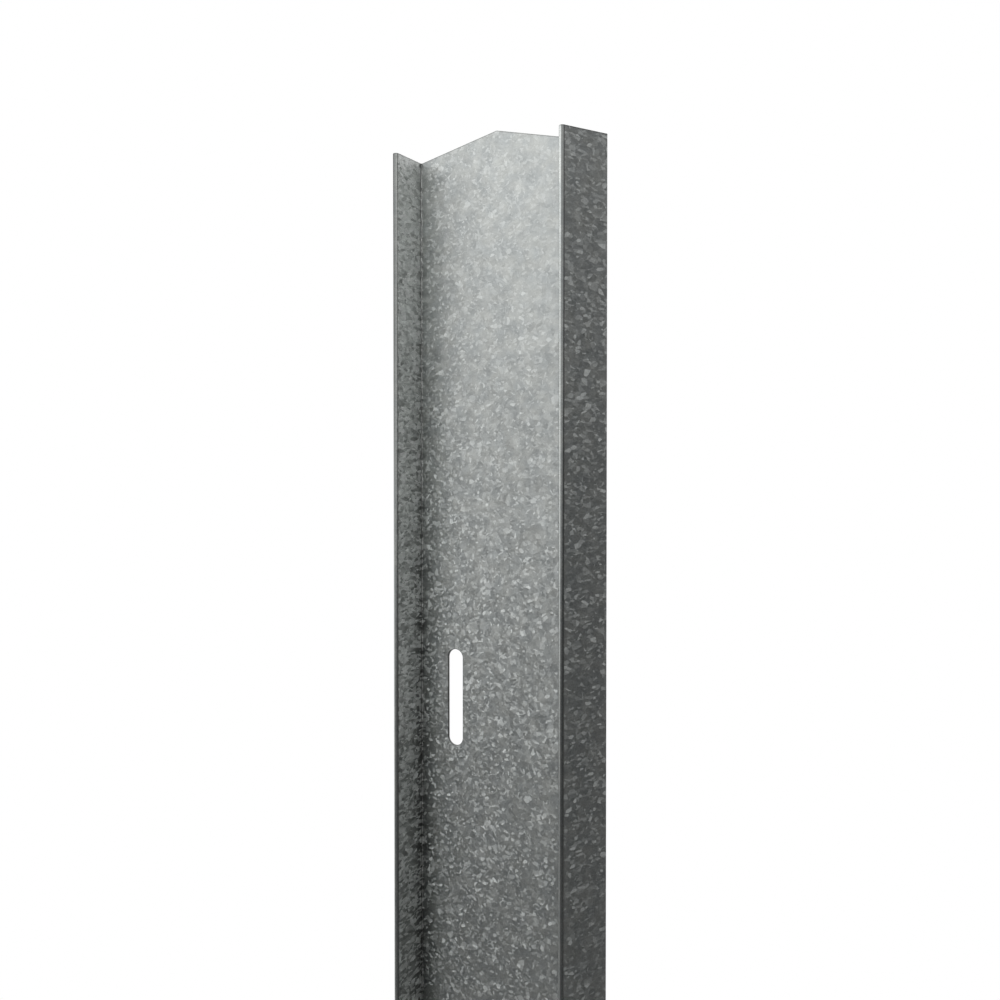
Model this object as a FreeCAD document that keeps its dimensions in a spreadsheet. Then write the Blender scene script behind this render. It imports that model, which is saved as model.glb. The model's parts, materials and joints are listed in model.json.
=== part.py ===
import FreeCAD, Part
import enum
import math
import os
import Sketcher

# Galvanised steel fence post, roll formed from one strip of sheet.
# Its section is a shallow trough: a flat web at the back and a flange down each side.
# Each flange is folded sharply back on itself at its tip, and a slanted wing runs
# from that fold out to the side and back until it is level with the web's rear face.
# The web's top end is cut as a low gable, and the flanges and wings are cut level.
# One upright slot goes through the web near the left flange, for a fixing.
# Frame: +Z up the post, the trough opens towards -Y, lengths are in millimetres.
# The origin is at the bottom end, on the centre line, in the middle of the web's sheet.

# Each size's name, its value, and what it measures.
DIMENSIONS = [
    ("sheet_thickness", 1.1, "thickness of the galvanised sheet"),
    ("trough_width", 66.6, "clear width between the two flanges"),
    ("flange_depth", 16.6, "from the web's front face to the tip of the fold"),
    ("wing_angle", 28.4, "degrees between a flange and its folded wing"),
    ("corner_radius", 0.5, "inside radius of the bend from web to flange"),
    ("fold_radius", 0.1, "inside radius of the sharp fold at a flange tip"),
    ("post_length", 1828.8, "from the bottom end to the peak of the gable"),
    ("gable_rise", 7.7, "height of the gable's peak above the flanges' ends"),
    ("slot_width", 6.4, "width of the fixing slot"),
    ("slot_length", 37.0, "length of the fixing slot over its round ends"),
    ("slot_inset", 15.2, "from the left flange's inner face to the slot's centre line"),
    ("slot_drop", 205.8, "from the flanges' top ends down to the slot's centre"),
]

document = FreeCAD.newDocument("FencePost")
sheet = document.addObject("Spreadsheet::Sheet", "Dimensions")
for row, (alias, value, note) in enumerate(DIMENSIONS, start=1):
    sheet.set(f"A{row}", alias)
    sheet.set(f"B{row}", str(value))
    sheet.set(f"C{row}", note)
    sheet.setAlias(f"B{row}", alias)
document.recompute()


def value_of(alias):
    return float(sheet.get(alias))


def origin_plane(body, role):
    # The body's own origin plane with this role.
    for feature in body.Origin.OriginFeatures:
        if feature.Role == role:
            return feature
    raise ValueError(f"no origin plane {role}")


def new_sketch(body, name, role):
    sketch = body.newObject("Sketcher::SketchObject", name)
    sketch.AttachmentSupport = [(origin_plane(body, role), "")]
    sketch.MapMode = "FlatFace"
    return sketch


def bind(sketch, name, constraint, expression):
    # Adds a dimension to the sketch and ties it to the sheet.
    index = sketch.addConstraint(constraint)
    sketch.renameConstraint(index, name)
    sketch.setExpression(f"Constraints.{name}", expression)


class Point(enum.IntEnum):
    # How a constraint names the points of an edge.
    START = 1
    END = 2
    CENTRE = 3


class Axis(enum.IntEnum):
    # How a constraint names the sketch's own axes.
    HORIZONTAL = -1
    VERTICAL = -2


ORIGIN = (Axis.HORIZONTAL, Point.START)


def line(start, end):
    return Part.LineSegment(FreeCAD.Vector(*start, 0), FreeCAD.Vector(*end, 0))


def arc(centre, radius, start_angle, end_angle):
    circle = Part.Circle(FreeCAD.Vector(*centre, 0), FreeCAD.Vector(0, 0, 1), radius)
    return Part.ArcOfCircle(circle, start_angle, end_angle)


def draw_half_section(sketch):
    # The right half of the sheet's section, from the centre line to the wing's cut end.
    thickness = value_of("sheet_thickness")
    front = -thickness / 2
    rear = thickness / 2
    inner_side = value_of("trough_width") / 2
    outer_side = inner_side + thickness
    corner = value_of("corner_radius")
    fold = value_of("fold_radius")
    nose = fold + thickness
    slant = math.radians(value_of("wing_angle"))
    bend_x = inner_side - corner
    bend_y = front - corner
    nose_x = inner_side + nose
    nose_y = front - value_of("flange_depth") + nose
    # Unit vectors: out of the wing's outer face, and along the wing to its cut end.
    out_x = math.cos(slant)
    out_y = -math.sin(slant)
    along_x = math.sin(slant)
    along_y = math.cos(slant)
    inner_start = (nose_x + fold * out_x, nose_y + fold * out_y)
    outer_start = (nose_x + nose * out_x, nose_y + nose * out_y)
    wing_run = (rear - inner_start[1]) / along_y
    inner_end = (inner_start[0] + wing_run * along_x, rear)
    outer_end = (inner_end[0] + thickness * out_x, inner_end[1] + thickness * out_y)

    web_front = sketch.addGeometry(line((0, front), (bend_x, front)))
    corner_inside = sketch.addGeometry(arc((bend_x, bend_y), corner, 0, math.pi / 2))
    flange_inside = sketch.addGeometry(line((inner_side, bend_y), (inner_side, nose_y)))
    nose_outside = sketch.addGeometry(arc((nose_x, nose_y), nose, math.pi, 2 * math.pi - slant))
    wing_outside = sketch.addGeometry(line(outer_start, outer_end))
    wing_cut = sketch.addGeometry(line(outer_end, inner_end))
    wing_inside = sketch.addGeometry(line(inner_end, inner_start))
    nose_inside = sketch.addGeometry(arc((nose_x, nose_y), fold, math.pi, 2 * math.pi - slant))
    flange_outside = sketch.addGeometry(line((outer_side, nose_y), (outer_side, bend_y)))
    corner_outside = sketch.addGeometry(arc((bend_x, bend_y), corner + thickness, 0, math.pi / 2))
    web_rear = sketch.addGeometry(line((bend_x, rear), (0, rear)))
    centre_cut = sketch.addGeometry(line((0, rear), (0, front)))

    smooth_joints = [
        (web_front, Point.END, corner_inside, Point.END),
        (corner_inside, Point.START, flange_inside, Point.START),
        (flange_inside, Point.END, nose_outside, Point.START),
        (nose_outside, Point.END, wing_outside, Point.START),
        (wing_inside, Point.END, nose_inside, Point.END),
        (nose_inside, Point.START, flange_outside, Point.START),
        (flange_outside, Point.END, corner_outside, Point.START),
        (corner_outside, Point.END, web_rear, Point.START),
    ]
    shared_points = [
        (wing_outside, Point.END, wing_cut, Point.START),
        (wing_cut, Point.END, wing_inside, Point.START),
        (web_rear, Point.END, centre_cut, Point.START),
        (centre_cut, Point.END, web_front, Point.START),
        (corner_inside, Point.CENTRE, corner_outside, Point.CENTRE),
        (nose_outside, Point.CENTRE, nose_inside, Point.CENTRE),
    ]
    for joint in smooth_joints:
        sketch.addConstraint(Sketcher.Constraint("Tangent", *joint))
    for pair in shared_points:
        sketch.addConstraint(Sketcher.Constraint("Coincident", *pair))
    for edge in (web_front, web_rear):
        sketch.addConstraint(Sketcher.Constraint("Horizontal", edge))
    for edge in (flange_inside, flange_outside):
        sketch.addConstraint(Sketcher.Constraint("Vertical", edge))
    for edge, end in ((web_front, Point.START), (web_rear, Point.END)):
        sketch.addConstraint(Sketcher.Constraint("PointOnObject", edge, end, Axis.VERTICAL))
    sketch.addConstraint(Sketcher.Constraint("Parallel", wing_outside, wing_inside))
    sketch.addConstraint(Sketcher.Constraint("Perpendicular", wing_outside, wing_cut))
    # The wing's cut end stops level with the web's rear face.
    sketch.addConstraint(Sketcher.Constraint("PointOnObject", wing_cut, Point.END, web_rear))

    bind(sketch, "FrontHalf",
         Sketcher.Constraint("DistanceY", web_front, Point.START, *ORIGIN, rear),
         "Dimensions.sheet_thickness / 2")
    bind(sketch, "RearHalf",
         Sketcher.Constraint("DistanceY", *ORIGIN, web_rear, Point.END, rear),
         "Dimensions.sheet_thickness / 2")
    bind(sketch, "TroughHalf",
         Sketcher.Constraint("DistanceX", *ORIGIN, flange_inside, Point.START, inner_side),
         "Dimensions.trough_width / 2")
    bind(sketch, "NoseDepth",
         Sketcher.Constraint("DistanceY", nose_outside, Point.CENTRE, *ORIGIN, -nose_y),
         "Dimensions.flange_depth - Dimensions.sheet_thickness / 2 - Dimensions.fold_radius")
    bind(sketch, "CornerRadius",
         Sketcher.Constraint("Radius", corner_inside, corner),
         "Dimensions.corner_radius")
    bind(sketch, "FoldRadius",
         Sketcher.Constraint("Radius", nose_inside, fold),
         "Dimensions.fold_radius")
    bind(sketch, "WingSlant",
         Sketcher.Constraint("Angle", wing_outside, math.pi / 2 - slant),
         "90 deg - Dimensions.wing_angle * 1 deg")


def draw_gable(sketch):
    # The web above the flanges: a low gable as wide as the web's flat, between its bends,
    # drawn with a base that stands in the web below it.
    side = value_of("trough_width") / 2 - value_of("corner_radius")
    peak = value_of("post_length")
    shoulder = peak - value_of("gable_rise")
    foot = shoulder - value_of("gable_rise")
    corners = [(-side, shoulder), (0, peak), (side, shoulder), (side, foot), (-side, foot)]
    edges = []
    for start, end in zip(corners, corners[1:] + corners[:1]):
        edges.append(sketch.addGeometry(line(start, end)))
    for edge, following in zip(edges, edges[1:] + edges[:1]):
        sketch.addConstraint(Sketcher.Constraint("Coincident", edge, Point.END, following, Point.START))
    left_slope, right_slope, right_side, base, left_side = edges
    sketch.addConstraint(Sketcher.Constraint("PointOnObject", left_slope, Point.END, Axis.VERTICAL))
    sketch.addConstraint(Sketcher.Constraint(
        "Symmetric", left_slope, Point.START, right_slope, Point.END, Axis.VERTICAL))
    for edge in (right_side, left_side):
        sketch.addConstraint(Sketcher.Constraint("Vertical", edge))
    sketch.addConstraint(Sketcher.Constraint("Horizontal", base))
    bind(sketch, "PeakHeight",
         Sketcher.Constraint("DistanceY", *ORIGIN, left_slope, Point.END, peak),
         "Dimensions.post_length")
    bind(sketch, "ShoulderHeight",
         Sketcher.Constraint("DistanceY", *ORIGIN, right_slope, Point.END, shoulder),
         "Dimensions.post_length - Dimensions.gable_rise")
    bind(sketch, "FootHeight",
         Sketcher.Constraint("DistanceY", *ORIGIN, base, Point.START, foot),
         "Dimensions.post_length - 2 * Dimensions.gable_rise")
    bind(sketch, "GableHalf",
         Sketcher.Constraint("DistanceX", *ORIGIN, right_slope, Point.END, side),
         "Dimensions.trough_width / 2 - Dimensions.corner_radius")


def draw_slot(sketch):
    # An upright slot with round ends.
    radius = value_of("slot_width") / 2
    middle_x = value_of("slot_inset") - value_of("trough_width") / 2
    middle_z = value_of("post_length") - value_of("gable_rise") - value_of("slot_drop")
    reach = value_of("slot_length") / 2 - radius
    top = middle_z + reach
    bottom = middle_z - reach
    top_end = sketch.addGeometry(arc((middle_x, top), radius, 0, math.pi))
    left_side = sketch.addGeometry(line((middle_x - radius, top), (middle_x - radius, bottom)))
    bottom_end = sketch.addGeometry(arc((middle_x, bottom), radius, math.pi, 2 * math.pi))
    right_side = sketch.addGeometry(line((middle_x + radius, bottom), (middle_x + radius, top)))
    smooth_joints = [
        (top_end, Point.END, left_side, Point.START),
        (left_side, Point.END, bottom_end, Point.START),
        (bottom_end, Point.END, right_side, Point.START),
        (right_side, Point.END, top_end, Point.START),
    ]
    for joint in smooth_joints:
        sketch.addConstraint(Sketcher.Constraint("Tangent", *joint))
    for edge in (left_side, right_side):
        sketch.addConstraint(Sketcher.Constraint("Vertical", edge))
    bind(sketch, "SlotRadius",
         Sketcher.Constraint("Radius", top_end, radius),
         "Dimensions.slot_width / 2")
    bind(sketch, "SlotReach",
         Sketcher.Constraint("DistanceY", bottom_end, Point.CENTRE, top_end, Point.CENTRE, 2 * reach),
         "Dimensions.slot_length - Dimensions.slot_width")
    bind(sketch, "SlotAcross",
         Sketcher.Constraint("DistanceX", top_end, Point.CENTRE, *ORIGIN, -middle_x),
         "Dimensions.trough_width / 2 - Dimensions.slot_inset")
    bind(sketch, "SlotTop",
         Sketcher.Constraint("DistanceY", *ORIGIN, top_end, Point.CENTRE, top),
         "Dimensions.post_length - Dimensions.gable_rise - Dimensions.slot_drop"
         " + (Dimensions.slot_length - Dimensions.slot_width) / 2")


# The post is one body: half of the section padded to the shoulders and mirrored,
# then the gable added to the web, and the slot punched through it.
post = document.addObject("PartDesign::Body", "FencePost")
post.Label = "fence_post"

section = new_sketch(post, "HalfSection", "XY_Plane")
draw_half_section(section)
half_post = post.newObject("PartDesign::Pad", "HalfPost")
half_post.Profile = section
half_post.setExpression("Length", "Dimensions.post_length - Dimensions.gable_rise")
document.recompute()

whole_section = post.newObject("PartDesign::Mirrored", "BothHalves")
whole_section.Originals = [half_post]
whole_section.MirrorPlane = (origin_plane(post, "YZ_Plane"), [""])
whole_section.Refine = True
post.Tip = whole_section
document.recompute()

gable_sketch = new_sketch(post, "GableOutline", "XZ_Plane")
draw_gable(gable_sketch)
gable = post.newObject("PartDesign::Pad", "Gable")
gable.Profile = gable_sketch
gable.Midplane = True
gable.setExpression("Length", "Dimensions.sheet_thickness")
gable.Refine = True
document.recompute()
volume_before_slot = post.Shape.Volume

slot_sketch = new_sketch(post, "SlotOutline", "XZ_Plane")
draw_slot(slot_sketch)
slot = post.newObject("PartDesign::Pocket", "FixingSlot")
slot.Profile = slot_sketch
slot.Type = "ThroughAll"
slot.Midplane = True
slot.Refine = True
document.recompute()

# The slot must have taken out its own outline over the sheet's thickness.
slot_area = Part.Face(slot_sketch.Shape.Wires[0]).Area
expected_loss = slot_area * value_of("sheet_thickness")
actual_loss = volume_before_slot - post.Shape.Volume
if abs(actual_loss - expected_loss) > expected_loss / 1000:
    raise ValueError(f"slot removed {actual_loss:.2f}, expected {expected_loss:.2f}")

for item in document.Objects:
    if "Invalid" in item.State or "Error" in item.State:
        raise ValueError(f"{item.Name} did not compute")
for sketch in (section, gable_sketch, slot_sketch):
    if not sketch.FullyConstrained:
        raise ValueError(f"{sketch.Name} is not fully constrained")
if post.Shape.isNull() or not post.Shape.isValid() or len(post.Shape.Solids) != 1:
    raise ValueError("the post is not one valid solid")

os.makedirs("parts", exist_ok=True)
post.Shape.exportStep(f"parts/{post.Label}.step")
extent = post.Shape.BoundBox
print(f"width {extent.XLength:.2f}  depth {extent.YLength:.2f}  length {extent.ZLength:.2f}")
print(f"volume {post.Shape.Volume:.0f}  faces {len(post.Shape.Faces)}")
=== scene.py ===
import json
import math

import bpy
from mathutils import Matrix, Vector


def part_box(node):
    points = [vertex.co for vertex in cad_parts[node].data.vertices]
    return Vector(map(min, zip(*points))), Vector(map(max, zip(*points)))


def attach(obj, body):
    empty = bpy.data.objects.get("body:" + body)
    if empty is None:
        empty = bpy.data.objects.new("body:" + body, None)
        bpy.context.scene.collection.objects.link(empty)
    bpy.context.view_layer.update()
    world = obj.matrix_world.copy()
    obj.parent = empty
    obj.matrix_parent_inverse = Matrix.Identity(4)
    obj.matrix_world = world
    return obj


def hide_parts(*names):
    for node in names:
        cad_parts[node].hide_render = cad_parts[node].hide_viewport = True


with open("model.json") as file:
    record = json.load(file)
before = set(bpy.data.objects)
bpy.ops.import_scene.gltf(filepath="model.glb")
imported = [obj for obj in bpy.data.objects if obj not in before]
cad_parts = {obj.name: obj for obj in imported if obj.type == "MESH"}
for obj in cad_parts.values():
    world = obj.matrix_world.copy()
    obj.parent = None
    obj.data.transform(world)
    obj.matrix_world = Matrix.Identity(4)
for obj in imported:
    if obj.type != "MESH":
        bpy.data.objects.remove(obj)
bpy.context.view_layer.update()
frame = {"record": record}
bpy.context.scene.view_settings.view_transform = "Standard"

# The post: one strip of galvanised steel sheet, roll formed into a flat web, a flange down
# each side, a sharp fold at each flange's tip and a wing slanting out from it. Its top end
# is sheared to a low gable, and one upright slot is punched through the web.
MM = 0.001
low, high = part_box("fence_post")
sheet_thickness = 2 * high.y
half_sheet = sheet_thickness / 2
wing_angle = math.radians(28.4)
corner_radius = 0.5 * MM + half_sheet
fold_radius = 0.1 * MM + half_sheet
gable_rise = 7.7 * MM
shoulder_z = high.z - gable_rise
fold_y = low.y + fold_radius + half_sheet
wing_start_y = fold_y - fold_radius * math.sin(wing_angle)
wing_end_y = half_sheet * (1 - math.sin(wing_angle))
wing_length = (wing_end_y - wing_start_y) / math.cos(wing_angle)
wing_end_x = high.x - half_sheet * math.cos(wing_angle)
wing_start_x = wing_end_x - wing_length * math.sin(wing_angle)
fold_x = wing_start_x - fold_radius * math.cos(wing_angle)
flange_x = fold_x - fold_radius
web_half = flange_x - corner_radius
cuts_along_post = 11
corner_steps = 8
fold_steps = 16
slot_facets = 64
slot_lip = 0.28 * MM
sheared_rounding = 0.1 * MM
sharpest_smooth_edge = math.radians(35)
tolerance = 0.01 * MM


def select_edges(piece, wanted):
    # Selects only the edges whose two ends pass the test.
    bpy.context.tool_settings.mesh_select_mode = (False, True, False)
    for element in (*piece.data.vertices, *piece.data.edges, *piece.data.polygons):
        element.select = False
    for edge in piece.data.edges:
        start, end = (piece.data.vertices[index].co for index in edge.vertices)
        edge.select = wanted(start, end)


def apply_modifier(piece, name, kind, settings):
    modifier = piece.modifiers.new(name, kind)
    for setting, value in settings.items():
        setattr(modifier, setting, value)
    bpy.ops.object.modifier_apply(modifier=name)


# Half of the strip's middle surface: the web's flat, the corner, the flange, the fold, the wing.
bpy.ops.object.select_all(action="DESELECT")
bpy.ops.mesh.primitive_plane_add(size=1, location=(0, 0, 0))
sheet = bpy.context.object
sheet.name = "post_sheet"
bpy.ops.object.mode_set(mode="EDIT")
bpy.ops.transform.rotate(value=math.pi / 2, orient_axis="X", center_override=(0, 0, 0))
bpy.ops.transform.resize(value=(web_half, 1, shoulder_z), center_override=(0, 0, 0))
bpy.ops.transform.translate(value=(web_half / 2, 0, shoulder_z / 2))
bpy.ops.object.mode_set(mode="OBJECT")
select_edges(sheet, lambda start, end: abs(start.x - end.x) < tolerance)
bpy.ops.object.mode_set(mode="EDIT")
bpy.ops.mesh.subdivide(number_cuts=cuts_along_post)
bpy.ops.object.mode_set(mode="OBJECT")
select_edges(sheet, lambda start, end: min(start.x, end.x) > web_half - tolerance)
bpy.ops.object.mode_set(mode="EDIT")
bpy.ops.mesh.spin(
    steps=corner_steps, angle=math.pi / 2, center=(web_half, -corner_radius, 0), axis=(0, 0, 1))
bpy.ops.mesh.extrude_region_move(
    TRANSFORM_OT_translate={"value": (0, fold_y + corner_radius, 0)})
bpy.ops.mesh.spin(
    steps=fold_steps, angle=math.pi - wing_angle, center=(fold_x, fold_y, 0), axis=(0, 0, -1))
bpy.ops.mesh.extrude_region_move(TRANSFORM_OT_translate={"value": (
    wing_length * math.sin(wing_angle), wing_length * math.cos(wing_angle), 0)})
bpy.ops.object.mode_set(mode="OBJECT")

# The web's top edge is raised to the gable's peak on the centre line.
for corner in sheet.data.vertices:
    if abs(corner.co.x) < tolerance and corner.co.z > shoulder_z - tolerance:
        corner.co.z = high.z

# The mirrored half closes the channel, and the middle surface gets the sheet's thickness.
apply_modifier(sheet, "other_half", "MIRROR", {"merge_threshold": tolerance})
bpy.ops.object.mode_set(mode="EDIT")
bpy.ops.mesh.select_all(action="SELECT")
bpy.ops.mesh.remove_doubles(threshold=tolerance)
bpy.ops.mesh.normals_make_consistent(inside=False)
bpy.ops.object.mode_set(mode="OBJECT")
apply_modifier(sheet, "wall", "SOLIDIFY", {
    "thickness": sheet_thickness, "offset": 0, "use_even_offset": True})

# The punch for the slot: a round bar stretched upright, as long as the mount says.
slot_mount = next(mount for mount in frame["record"]["mounts"] if mount["name"] == "fixing_slot")
slot_centre = Vector(slot_mount["pos_m"])
slot_radius = slot_mount["dims"]["hole_r_mm"] * MM
slot_stretch = slot_mount["dims"]["slot_length_mm"] * MM - 2 * slot_radius
bpy.ops.object.select_all(action="DESELECT")
bpy.ops.mesh.primitive_cylinder_add(
    vertices=slot_facets, radius=slot_radius, depth=4 * sheet_thickness, location=slot_centre,
    rotation=(math.pi / 2, 0, 0))
punch = bpy.context.object
bpy.ops.object.transform_apply(location=True, rotation=True, scale=True)
for corner in punch.data.vertices:
    side = 1 if corner.co.z > slot_centre.z - tolerance else -1
    corner.co.z += side * slot_stretch / 2
bpy.ops.object.select_all(action="DESELECT")
bpy.context.view_layer.objects.active = sheet
apply_modifier(sheet, "slot", "BOOLEAN", {"object": punch, "operation": "DIFFERENCE"})
bpy.data.objects.remove(punch)


def on_slot_rim(point):
    across = abs(point.x - slot_centre.x) <= slot_radius + tolerance
    upright = abs(point.z - slot_centre.z) <= slot_stretch / 2 + slot_radius + tolerance
    return across and upright and abs(point.y + half_sheet) < tolerance


# The punch rolls the slot's front edge over, every sheared edge is a little rounded, and the
# flat walls are shaded flat up to their rounded edges.
select_edges(sheet, lambda start, end: on_slot_rim(start) and on_slot_rim(end))
bpy.ops.object.mode_set(mode="EDIT")
bpy.ops.mesh.bevel(offset=slot_lip, segments=4)
bpy.ops.object.mode_set(mode="OBJECT")
apply_modifier(sheet, "sheared_edges", "BEVEL", {
    "width": sheared_rounding, "segments": 2, "limit_method": "ANGLE",
    "angle_limit": math.radians(60)})
bpy.ops.object.select_all(action="DESELECT")
sheet.select_set(True)
bpy.ops.object.shade_smooth_by_angle(angle=sharpest_smooth_edge)
apply_modifier(sheet, "flat_walls", "WEIGHTED_NORMAL", {"keep_sharp": True})


class Channel:
    """One output of a material's nodes: arithmetic on it adds Math nodes, and node() any other."""

    def __init__(self, tree, socket=None):
        self.tree = tree
        self.socket = socket

    def node(self, kind, settings, inputs, output=0):
        made = self.tree.nodes.new(kind)
        for name, value in settings.items():
            setattr(made, name, value)
        for name, value in inputs.items():
            if isinstance(value, Channel):
                self.tree.links.new(value.socket, made.inputs[name])
            else:
                made.inputs[name].default_value = value
        return Channel(self.tree, made.outputs[output])

    def math(self, operation, first, second=0.0, clamp=False):
        settings = {"operation": operation, "use_clamp": clamp}
        return self.node("ShaderNodeMath", settings, {0: first, 1: second})

    def __add__(self, other):
        return self.math("ADD", self, other)

    def __sub__(self, other):
        return self.math("SUBTRACT", self, other)

    def __rsub__(self, other):
        return self.math("SUBTRACT", other, self)

    def __mul__(self, other):
        return self.math("MULTIPLY", self, other)

    def fade(self, start, end, low=0.0, high=1.0):
        # Runs smoothly from low to high as this value goes from start to end.
        return self.node("ShaderNodeMapRange", {"interpolation_type": "SMOOTHSTEP"}, {
            "Value": self, "From Min": start, "From Max": end, "To Min": low, "To Max": high})

    def part(self, axis):
        return self.node("ShaderNodeSeparateXYZ", {}, {"Vector": self}, axis)

    def vector_math(self, operation, other):
        settings = {"operation": operation}
        return self.node("ShaderNodeVectorMath", settings, {0: self, 1: other})

    def scaled(self, factor):
        settings = {"operation": "SCALE"}
        return self.node("ShaderNodeVectorMath", settings, {0: self, "Scale": factor})

    def mixed(self, factor, first, second):
        inputs = {"Factor": factor, "A": first, "B": second}
        return self.node("ShaderNodeMix", {"data_type": "RGBA"}, inputs, "Result")

    __radd__ = __add__
    __rmul__ = __mul__


# The post's skin: hot-dip zinc, a matt grey that varies from patch to patch, covered with
# small flecks. The frosted flecks are paler and rougher, and each stands at its own tilt, so
# that each catches the light in its own way.
zinc = bpy.data.materials.new("galvanised_steel")
zinc.use_nodes = True
tree = zinc.node_tree
tree.nodes.clear()
skin = Channel(tree)
place = skin.node("ShaderNodeTexCoord", {}, {}, "Object")
sideways = place.part("X")
depth = place.part("Y")
upright = place.part("Z")
across = skin.math("ABSOLUTE", sideways)

# Where the sheet is bent: the trough's inside, its flanges and its web, and the tips of the folds,
# which the rollers burnish and which carry a painted highlight and painted shade. The corners'
# creases and bends get painted shade, which in the creases is stronger towards the bottom.
soft_edge = 0.2 * MM
crease_width = 9 * MM
root_width = 2.8 * MM
in_trough = across.fade(flange_x + soft_edge, flange_x - soft_edge) * depth.fade(soft_edge, -soft_edge)
in_flange = across.fade(web_half - soft_edge, web_half + 2 * soft_edge) * in_trough
in_web = in_trough * (1 - in_flange)
# The fold tips, which the rollers burnish: this mask makes them glossier and also carries their
# painted highlight and painted shade.
burnish_and_painted_tip_light = depth.fade(low.y + 0.85 * MM, low.y + 0.45 * MM)
tip_outside = across.fade(fold_x - 0.15 * MM, fold_x + 0.25 * MM)
# Painted shade on the outer side of each fold tip, stronger near the top.
tip_shade = burnish_and_painted_tip_light * tip_outside * upright.fade(1.55, 1.84, 0.20, 0.62)
# Painted shade in the corner creases, and more of it at their roots next to the corner.
crease = across.fade(web_half - crease_width, web_half) * depth.fade(-crease_width, -0.6 * MM)
crease = crease * in_trough
crease_root = across.fade(web_half - root_width, web_half - 0.8 * MM)
crease_root = crease_root * depth.fade(-1.3 * MM, -0.8 * MM) * in_trough
# Painted shade over the rounding of each corner.
bend = across.fade(web_half - 0.4 * MM, web_half) * depth.fade(-1.3 * MM, -0.9 * MM) * in_trough
# The creases' painted shade is strong at the bottom and faint at the top.
crease_painted_shade = (1 - crease * upright.fade(1.55, 1.84, 0.55, 0.08)) * (1 - 0.14 * crease_root)

# Where it is cut: the bare sheared top end and the wall of the slot.
top_drop = skin.math("MINIMUM", across * (1 / web_half), 1.0) * gable_rise
sheared = (upright + top_drop).fade(high.z - 0.5 * MM, high.z - 0.2 * MM)
beside_slot = sideways - slot_centre.x
past_slot = skin.math("ABSOLUTE", upright - slot_centre.z) - slot_stretch / 2
past_slot = skin.math("MAXIMUM", past_slot, 0.0)
from_slot = skin.math("SQRT", beside_slot * beside_slot + past_slot * past_slot)
punched = from_slot.fade(slot_radius + 0.25 * MM, slot_radius + 0.10 * MM)

# Painted light and shade over the post: painted shade on the left near the top, and flanges
# painted paler upwards and darker downwards. The pattern is calmer on the web's right side and near
# the top.
near_top = upright.fade(1.64, 1.78)
# Painted shade on the left side near the top.
top_left_painted_shade = sideways.fade(10 * MM, -web_half) * near_top
# Painted light and shade on the flanges: paler near the top, darker lower down.
flange_painted_light_and_shade = in_flange * upright.fade(1.50, 1.82, -0.22, 0.26)
flange_shade = skin.math("MINIMUM", flange_painted_light_and_shade, 0.0)
web_calm = sideways.fade(-10 * MM, web_half, 0.0, 0.25) + 0.35 * near_top
pattern = 0.88 + 0.12 * in_trough - in_web * web_calm

# The crystals: large grains with wavy borders, and in each grain flecks of its own size that
# lie its own way. A fleck's first two random values say whether it is frosted, and how much.
grain_size = 3.0 * MM
fleck_size = 0.93 * MM
grit_size = 0.45 * MM
wave_size = 1.2 * MM
wave_reach = 0.15 * MM
middle = (0.5, 0.5, 0.5)
wave_inputs = {"Vector": place, "Scale": 1 / wave_size, "Detail": 1.0}
wave = skin.node("ShaderNodeTexNoise", {}, wave_inputs, "Color")
wave = wave.vector_math("SUBTRACT", middle).vector_math("MULTIPLY", (wave_reach,) * 3)
wavy_place = place.vector_math("ADD", wave).vector_math("MULTIPLY", (1.0, 0.5, 1.0))
grain_inputs = {"Vector": wavy_place, "Scale": 1 / grain_size}
grain = skin.node("ShaderNodeTexVoronoi", {}, grain_inputs, "Color")
turned = skin.node("ShaderNodeVectorRotate", {"rotation_type": "EULER_XYZ"}, {
    "Vector": wavy_place, "Rotation": grain.vector_math("MULTIPLY", (6.3, 6.3, 6.3))})
stretched = turned.vector_math("MULTIPLY", (1.0, 1.0, 0.55))
fleck_scale = (1 / fleck_size) * (1.25 - 0.6 * grain.part("Z"))
fleck = skin.node("ShaderNodeTexVoronoi", {}, {"Vector": stretched, "Scale": fleck_scale}, "Color")
# On the flanges the flecks are more often and more strongly frosted, partly the pattern seen there and
# partly painted light.
frost = fleck.part("X").fade(0.50 - 0.22 * in_flange, 0.95 - 0.25 * in_flange)
frost = frost * (0.3 + 0.3 * in_flange + (0.7 - 0.3 * in_flange) * fleck.part("Y"))
frost = frost * (1 - burnish_and_painted_tip_light) * pattern
grit_inputs = {"Vector": wavy_place, "Scale": 1 / grit_size}
grit = skin.node("ShaderNodeTexVoronoi", {}, grit_inputs, "Color").part("X")

# The tilt of grains and flecks. Frosted flecks also lean up, and on the flanges back.
grain_tilt = 0.08
frost_lean_up = 0.12
frost_lean_back = 0.60
fleck_tilt = 0.10 * pattern + 0.11 * frost + 0.35 * in_flange
lean = skin.node("ShaderNodeCombineXYZ", {}, {
    "Y": frost_lean_back * (frost * in_flange), "Z": frost * frost_lean_up})
tilt = grain.vector_math("SUBTRACT", middle).vector_math("MULTIPLY", (grain_tilt,) * 3)
tilt = tilt.vector_math("ADD", fleck.vector_math("SUBTRACT", middle).scaled(fleck_tilt))
tilt = tilt.vector_math("ADD", lean).scaled(1 - 0.9 * burnish_and_painted_tip_light)
face = skin.node("ShaderNodeNewGeometry", {}, {}, "Normal").vector_math("ADD", tilt)
facing = skin.node("ShaderNodeVectorMath", {"operation": "NORMALIZE"}, {0: face})

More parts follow.
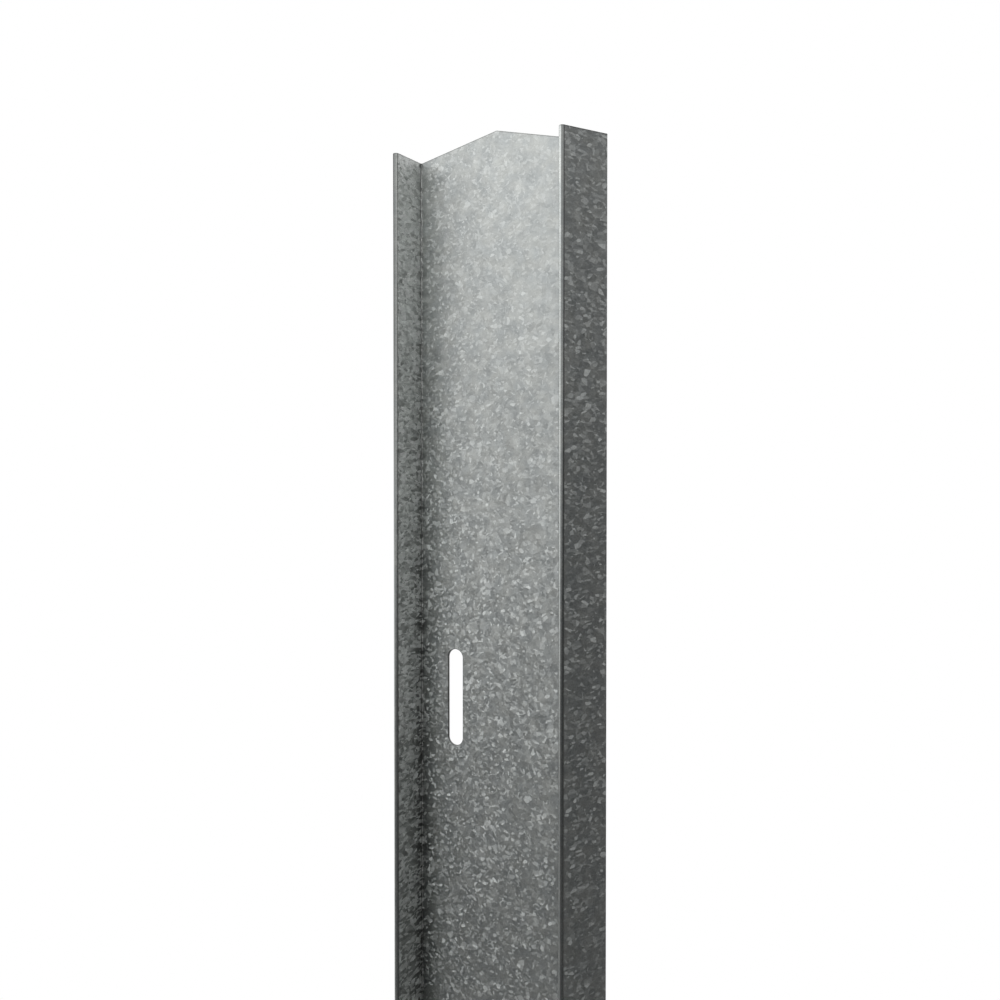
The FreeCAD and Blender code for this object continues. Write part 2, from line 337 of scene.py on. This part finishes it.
# The colours: two greys in patches and paler frost, speckled with grit and darker on bare cuts. The
# flanges get their own grey and a much paler frost, which is painted light. On top come painted
# shade in the creases, on the bends and at the top left, painted light and shade up the flanges,
# and a painted highlight and painted shade on the fold tips.
zinc_grey = (0.468, 0.492, 0.490, 1)
pale_grey = (0.546, 0.563, 0.546, 1)
flange_grey = (0.480, 0.495, 0.482, 1)
web_frost = (0.765, 0.790, 0.777, 1)
flange_frost_painted_light = (0.980, 1.000, 0.985, 1)
patch_size = 6 * MM
patch_inputs = {"Vector": place, "Scale": 1 / patch_size, "Detail": 2.0}
patch = skin.node("ShaderNodeTexNoise", {}, patch_inputs).fade(0.3, 0.7)
# The ground grey, with painted shade at the top left and in the creases, and painted light and shade
# up the flanges.
ground = skin.mixed(patch, zinc_grey, pale_grey).scaled(1 - 0.10 * top_left_painted_shade)
ground = skin.mixed(in_flange, ground, flange_grey).scaled(crease_painted_shade * (1 + flange_painted_light_and_shade))
# The frost, much paler on the flanges as painted light, with painted shade at the creases' roots and
# low on the flanges.
frosted = skin.mixed(in_flange, web_frost, flange_frost_painted_light)
frosted = frosted.scaled((1 - 0.35 * crease_root) * (1 + 0.7 * flange_shade))
# The bare sheared top end is darker, and so are the slot's wall and rim, partly the bare cut's own
# tone and partly painted shade in the slot.
cut_shade = (1 - 0.4 * sheared) * (1 - 0.70 * punched)
# Painted shade on the bends, on the fold tips' outer sides and on the left tip near the top, and a
# painted highlight on the fold tips.
fold_painted_shade_and_highlight = (1 - 0.20 * bend) * (1 - tip_shade) * (1 + 0.15 * burnish_and_painted_tip_light)
fold_painted_shade_and_highlight = fold_painted_shade_and_highlight * (1 - 0.45 * (top_left_painted_shade * burnish_and_painted_tip_light))
speckle = 1 + 0.22 * (pattern * (grit - 0.5))
colour = skin.mixed(frost, ground, frosted).scaled(cut_shade * fold_painted_shade_and_highlight * speckle)
roughness = (0.38 + 0.22 * frost) * (1 - 0.50 * burnish_and_painted_tip_light)
shader = tree.nodes.new("ShaderNodeBsdfPrincipled")
shader.inputs["Metallic"].default_value = 1.0
tree.links.new(colour.socket, shader.inputs["Base Color"])
tree.links.new(roughness.socket, shader.inputs["Roughness"])
tree.links.new(facing.socket, shader.inputs["Normal"])
output = tree.nodes.new("ShaderNodeOutputMaterial")
tree.links.new(shader.outputs["BSDF"], output.inputs["Surface"])
sheet.data.materials.append(zinc)
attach(sheet, "root")
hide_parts("fence_post")

# The camera stands to the right of the post's front, just below its top end, and looks
# almost level at the top third of a metre.
camera_data = bpy.data.cameras.new("camera")
camera = bpy.data.objects.new("camera", camera_data)
bpy.context.scene.collection.objects.link(camera)
bpy.context.scene.camera = camera
camera_data.sensor_width = 36.0
camera_data.lens = 39.56
camera.location = (199.3 * MM, -360.7 * MM, 1699.2 * MM)
camera.rotation_euler = (math.radians(90 - 1.11), 0, math.radians(28.78))

# The floor: a pale disc under the post that turns white towards its rim, where it meets
# the white surroundings.
floor_radius = 2.4
white_from = 0.6
white_at = 2.2
bpy.ops.object.select_all(action="DESELECT")
bpy.ops.mesh.primitive_circle_add(
    vertices=96, radius=floor_radius, fill_type="NGON", location=(0, 0, 0))
floor = bpy.context.object
floor.name = "floor"
paint = bpy.data.materials.new("floor_paint")
paint.use_nodes = True
tree = paint.node_tree
tree.nodes.clear()
coat = Channel(tree)
place = coat.node("ShaderNodeTexCoord", {}, {}, "Object")
reach = coat.node("ShaderNodeVectorMath", {"operation": "LENGTH"}, {0: place}, "Value")
matt = coat.node("ShaderNodeBsdfDiffuse", {}, {"Color": (0.8, 0.8, 0.8, 1)})
glow = coat.node("ShaderNodeEmission", {}, {"Color": (1, 1, 1, 1), "Strength": 1.0})
blend = coat.node("ShaderNodeMixShader", {}, {0: reach.fade(white_from, white_at), 1: matt, 2: glow})
output = tree.nodes.new("ShaderNodeOutputMaterial")
tree.links.new(blend.socket, output.inputs["Surface"])
floor.data.materials.append(paint)

# The surroundings: white to the camera and to what mirrors them, a soft grey as light.
light_level = 0.5
world = bpy.data.worlds.new("surroundings")
bpy.context.scene.world = world
world.use_nodes = True
tree = world.node_tree
tree.nodes.clear()
air = Channel(tree)
camera_ray = air.node("ShaderNodeLightPath", {}, {}, "Is Camera Ray")
glossy_ray = air.node("ShaderNodeLightPath", {}, {}, "Is Glossy Ray")
clear_ray = air.node("ShaderNodeLightPath", {}, {}, "Is Transmission Ray")
seen = air.math("ADD", camera_ray + glossy_ray, clear_ray, clamp=True)
strength = light_level + (1 - light_level) * seen
background = air.node("ShaderNodeBackground", {}, {"Color": (1, 1, 1, 1), "Strength": strength})
output = tree.nodes.new("ShaderNodeOutputWorld")
tree.links.new(background.socket, output.inputs["Surface"])

# A large soft lamp above the front, to the left, which gives the floor its shadow.
bpy.ops.object.select_all(action="DESELECT")
bpy.ops.object.light_add(type="AREA", location=(-1.3, -1.9, 3.2))
lamp = bpy.context.object
lamp.rotation_euler = (Vector((0, 0, 0.3)) - lamp.location).to_track_quat("-Z", "Y").to_euler()
lamp.data.size = 1.6
lamp.data.energy = 80
lamp.visible_glossy = False

# The tent that the metal mirrors: a round wall with a skirt on the floor, which only mirror
# rays see. It glows in greys that get paler upwards: brightest at the front and its left,
# dark at the right, and plain behind.
tent_radius = 2.6
tent_height = 6.0
skirt_share = 0.27
bpy.ops.object.select_all(action="DESELECT")
bpy.ops.mesh.primitive_cylinder_add(
    vertices=96, radius=tent_radius, depth=tent_height, end_fill_type="NOTHING",
    location=(0, 0, tent_height / 2 + 0.01))
tent = bpy.context.object
tent.name = "tent"
bpy.ops.object.transform_apply(location=True)
select_edges(tent, lambda start, end: max(start.z, end.z) < 0.1)
bpy.ops.object.mode_set(mode="EDIT")
bpy.ops.mesh.extrude_edges_move()
bpy.ops.transform.resize(value=(skirt_share, skirt_share, 1), center_override=(0, 0, 0))
bpy.ops.object.mode_set(mode="OBJECT")
tent.visible_camera = False
tent.visible_diffuse = False
tent.visible_transmission = False
tent.visible_shadow = False
fabric = bpy.data.materials.new("tent_fabric")
fabric.use_nodes = True
tree = fabric.node_tree
tree.nodes.clear()
cloth = Channel(tree)
place = cloth.node("ShaderNodeTexCoord", {}, {}, "Object")
height = place.part("Z")
azimuth = cloth.math("ARCTAN2", place.part("X"), -1 * place.part("Y")) * math.degrees(1)
front = height.fade(0.6, 2.5, 0.135, 0.98) + height.fade(2.3, 2.5, 0.0, 0.26)
centre = height.fade(1.05, 2.25, 0.10, 0.85) + height.fade(2.3, 3.0, 0.0, 0.45)
right = height.fade(1.2, 4.0, 0.065, 0.30)
back = height.fade(0.0, 4.0, 0.42, 0.85)
left = height.fade(2.35, 2.45, 1.0, 0.12)
side_gain = height.fade(0.4, 2.2, 3.3, 1.3)
right_edge = height.fade(0.8, 2.6, -4, 50)
shade = front + (centre - front) * azimuth.fade(-40, -8)
shade = shade + (right - shade) * (azimuth - right_edge).fade(0, 35)
shade = shade * azimuth.fade(-42, -75, 1.0, side_gain)
shade = shade + (back - shade) * azimuth.fade(105, 150)
shade = shade + (left - shade) * azimuth.fade(-88, -103)
shade = shade + (back - shade) * azimuth.fade(-150, -165)
lit = cloth.node("ShaderNodeEmission", {}, {"Color": (1, 1, 1, 1), "Strength": shade})
output = tree.nodes.new("ShaderNodeOutputMaterial")
tree.links.new(lit.socket, output.inputs["Surface"])
tent.data.materials.append(fabric)
